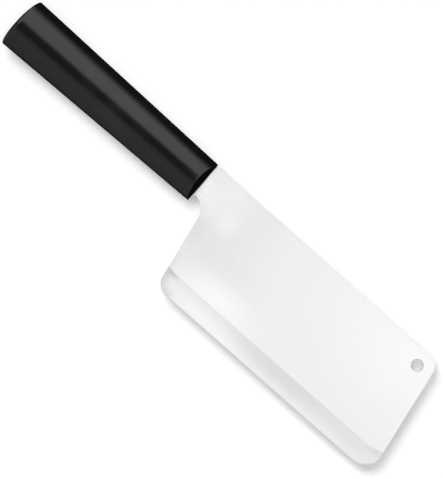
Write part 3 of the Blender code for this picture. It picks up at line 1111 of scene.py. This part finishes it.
def seenDirectly(tree):
    # 1 for what the camera sees, straight or in a reflection
    path = addNode(tree, "ShaderNodeLightPath")
    first = combine(tree, "MAXIMUM", path, "Is Camera Ray", path, "Is Glossy Ray")
    return combine(tree, "MAXIMUM", first, "Value", path, "Is Transmission Ray")


def makeMatte(shader):
    shader.inputs["Roughness"].default_value = 1
    shader.inputs["Specular IOR Level"].default_value = 0


def mixShaders(tree, mask, output, first, firstOutput, second, secondOutput):
    node = addNode(tree, "ShaderNodeMixShader")
    wire(tree, mask, output, node, "Fac")
    wire(tree, first, firstOutput, node, 1)
    wire(tree, second, secondOutput, node, 2)
    return node


def makeFloor():
    s = studio
    (nearX, nearZ), (farX, farZ) = s["floorUnder"]
    slope = (nearZ - farZ) / (nearX - farX)
    startClean()
    bpy.ops.mesh.primitive_circle_add(
        vertices=96, radius=s["floorRadius"], fill_type="NGON",
        location=(0, 0, nearZ - (frontX + nearX) * slope), rotation=(0, -math.atan(slope), 0))
    floor = rename("floor")
    placeInMesh(floor)
    material, tree, shader = startMaterial("white floor")
    direct = seenDirectly(tree)
    whites = {"A": (*s["floorColor"], 1), "B": (1, 1, 1, 1)}
    color = addNode(tree, "ShaderNodeMix", whites, data_type="RGBA")
    wire(tree, direct, "Value", color, "Factor")
    wire(tree, color, "Result", shader, "Base Color")
    makeMatte(shader)
    # a share of its white shows to the camera without shadow
    place = addNode(tree, "ShaderNodeTexCoord")
    fromHandle = measureFromHandle(tree, place)
    share = addNode(tree, "ShaderNodeValue")
    share.outputs["Value"].default_value = s["floorGlow"]
    for center, size, more in s["floorPatches"]:
        added = addNode(tree, "ShaderNodeMath", {1: more}, operation="MULTIPLY_ADD")
        wire(tree, patchAt(tree, fromHandle, center, size), "Mask", added, 0)
        wire(tree, share, "Value", added, 2)
        share = added
    path = addNode(tree, "ShaderNodeLightPath")
    seen = multiply(tree, share, "Value", path, "Is Camera Ray")
    glow = addNode(tree, "ShaderNodeEmission", {"Strength": 1})
    glowing = mixShaders(tree, seen, "Value", shader, "BSDF", glow, "Emission")
    # it fades out, so that no edge of it shows from the side
    fade = useGroup(tree, softPatch, (place, "Object"), {"Size": [s["floorRadius"]] * 3})
    solid = spread(tree, fade, "Mask", 0, s["floorSolid"], 0, 1, smooth=True)
    clear = addNode(tree, "ShaderNodeBsdfTransparent")
    faded = mixShaders(tree, solid, "Result", clear, "BSDF", glowing, "Shader")
    output = next(n for n in tree.nodes if n.type == "OUTPUT_MATERIAL")
    wire(tree, faded, "Shader", output, "Surface")
    floor.data.materials.append(material)


def makeFlag():
    # a black card low over the belly side, seen only in reflections
    (x0, x1), (y0, y1), height = studio["flag"]
    startClean()
    bpy.ops.mesh.primitive_plane_add(
        size=1, location=((x0 + x1) / 2, axisY + (y0 + y1) / 2, height))
    flag = rename("dark_card")
    flag.scale = (x1 - x0, y1 - y0, 1)
    placeInMesh(flag)
    material, _, shader = startMaterial("black card")
    shader.inputs["Base Color"].default_value = (0, 0, 0, 1)
    makeMatte(shader)
    flag.data.materials.append(material)
    flag.visible_camera = False
    flag.visible_diffuse = False
    flag.visible_shadow = False


def makeLight():
    s = studio
    world = bpy.data.worlds.new("studio")
    bpy.context.scene.world = world
    world.use_nodes = True
    tree = world.node_tree
    background = tree.nodes["Background"]
    background.inputs["Color"].default_value = (1, 1, 1, 1)
    direct = seenDirectly(tree)
    strength = spread(tree, direct, "Value", 0, 1, s["worldLevel"], 1)
    wire(tree, strength, "Result", background, "Strength")
    x, y = s["keyFrom"]
    up = math.tan(s["keyHeight"]) * math.hypot(x, y)
    for name, place, level, angle in (
            ("key", (x, y, up), s["keyLevel"], s["keyAngle"]),
            ("top", (0, 0, s["topHeight"]), s["topLevel"], s["topAngle"])):
        startClean()
        bpy.ops.object.light_add(type="SUN", location=place)
        lamp = bpy.context.object
        lamp.name = name
        toLamp = Vector(place).normalized()
        lamp.rotation_euler = toLamp.to_track_quat("Z", "Y").to_euler()
        lamp.data.energy = level * math.pi / toLamp.z
        lamp.data.angle = angle
        lamp.visible_glossy = False


def makeCamera():
    s = studio
    startClean()
    bpy.ops.object.camera_add(
        location=(*s["cameraOver"], s["cameraDistance"]), rotation=(0, 0, s["cameraTurn"]))
    camera = bpy.context.object
    camera.data.type = "PERSP"
    camera.data.sensor_width = s["sensorWidth"]
    camera.data.lens = s["sensorWidth"] * s["cameraDistance"] / s["viewHeight"]
    camera.data.clip_start, camera.data.clip_end = s["clip"]
    bpy.context.scene.camera = camera


makeFloor()
makeFlag()
makeLight()
makeCamera()
bpy.context.scene.view_settings.view_transform = "Standard"
print("studio set")
